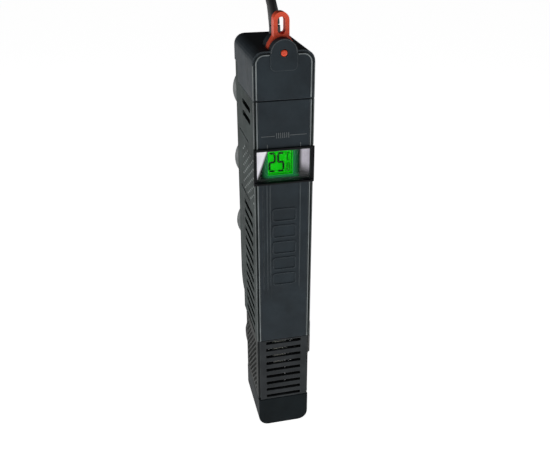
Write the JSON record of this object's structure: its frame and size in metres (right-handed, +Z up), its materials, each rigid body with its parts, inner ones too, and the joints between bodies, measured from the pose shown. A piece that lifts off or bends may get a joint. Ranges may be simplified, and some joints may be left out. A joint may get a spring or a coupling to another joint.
{
  "type": "submersible aquarium heater",
  "caption": "Submersible aquarium heater in a slotted guard, with a lit temperature display, a set lever, suction cup bracket and mains cord",
  "frame": {"origin": "middle of the outline of the heater on the plane its foot stands on", "axes": "+Z up along the heater, +Y back towards the suction cups, +X to the right seen from the front"},
  "size_m": [0.0646, 0.2096, 0.3292],
  "materials": {
    "charcoal_plastic": "charcoal moulded plastic, satin",
    "grey_plastic": "dark grey-green moulded plastic, satin",
    "black_gloss": "black gloss plastic",
    "red_plastic": "orange-red moulded plastic",
    "clear_lens": "clear moulded lens",
    "lcd_green": "green backlit display",
    "board_green": "green circuit board",
    "component_black": "black moulded plastic",
    "sensor_glass": "tinted glass tube",
    "cup_silicone": "translucent grey silicone",
    "tube_glass": "clear borosilicate glass",
    "ceramic": "off-white ceramic",
    "bright_steel": "bright steel",
    "brass_pin": "plated brass",
    "black_rubber": "black rubber"
  },
  "bodies": {
    "heater_body": {"foot_cap": "charcoal_plastic", "lower_basket": "charcoal_plastic", "guard_shell": "grey_plastic", "lower_fascia": "charcoal_plastic", "upper_fascia": "charcoal_plastic", "window_frame": "black_gloss", "display_lens": "clear_lens", "head_cap": "charcoal_plastic", "cap_screw_left": "bright_steel", "cap_screw_right": "bright_steel", "glass_tube": "tube_glass", "ceramic_core": "ceramic", "heating_coil": "bright_steel", "heater_lead_left": "bright_steel", "heater_lead_right": "bright_steel", "thermal_fuse": "ceramic", "tube_collar": "component_black", "tube_seal": "black_rubber", "water_temperature_sensor": "bright_steel", "head_housing": "component_black", "lid_seal": "black_rubber", "housing_lid": "component_black", "inner_cord": "black_rubber", "display_mask": "black_gloss", "lcd_module": "lcd_green", "backlight": "clear_lens", "control_board": "board_green", "triac": "component_black", "relay": "component_black", "capacitor": "component_black", "sensor_board": "board_green", "reed_switch_left": "sensor_glass", "reed_switch_right": "sensor_glass", "mounting_bracket": "grey_plastic", "suction_cup_bottom": "cup_silicone", "suction_cup_middle": "cup_silicone", "suction_cup_top": "cup_silicone", "cord_gland": "black_rubber", "power_cord": "black_rubber", "cord_hank": "black_rubber", "hank_tie_near": "black_rubber", "hank_tie_far": "black_rubber", "plug_lead": "black_rubber", "plug_body": "black_rubber", "plug_pin_left": "brass_pin", "plug_pin_right": "brass_pin"},
    "lever": {"temperature_lever": "red_plastic", "lever_pivot_pin": "red_plastic", "lever_magnet": "bright_steel", "lever_return_spring": "bright_steel"},
    "left_tab": {"left_release_tab": "grey_plastic"},
    "right_tab": {"right_release_tab": "grey_plastic"}
  },
  "joints": [
    {"name": "lever_hinge", "type": "hinge", "parent": "heater_body", "child": "lever", "pos_m": [0, -0.0288, 0.2725], "axis": [0, 1, 0], "range_deg": [-12, 12], "stiffness_Nm_per_rad": 0.05},
    {"name": "left_tab_flex", "type": "hinge", "parent": "heater_body", "child": "left_tab", "pos_m": [-0.0177, -0.01735, 0.19475], "axis": [0, 0, -1], "range_deg": [0, 3.5], "stiffness_Nm_per_rad": 2},
    {"name": "right_tab_flex", "type": "hinge", "parent": "heater_body", "child": "right_tab", "pos_m": [0.0177, -0.01735, 0.19475], "axis": [0, 0, 1], "range_deg": [0, 3.5], "stiffness_Nm_per_rad": 2}
  ]
}
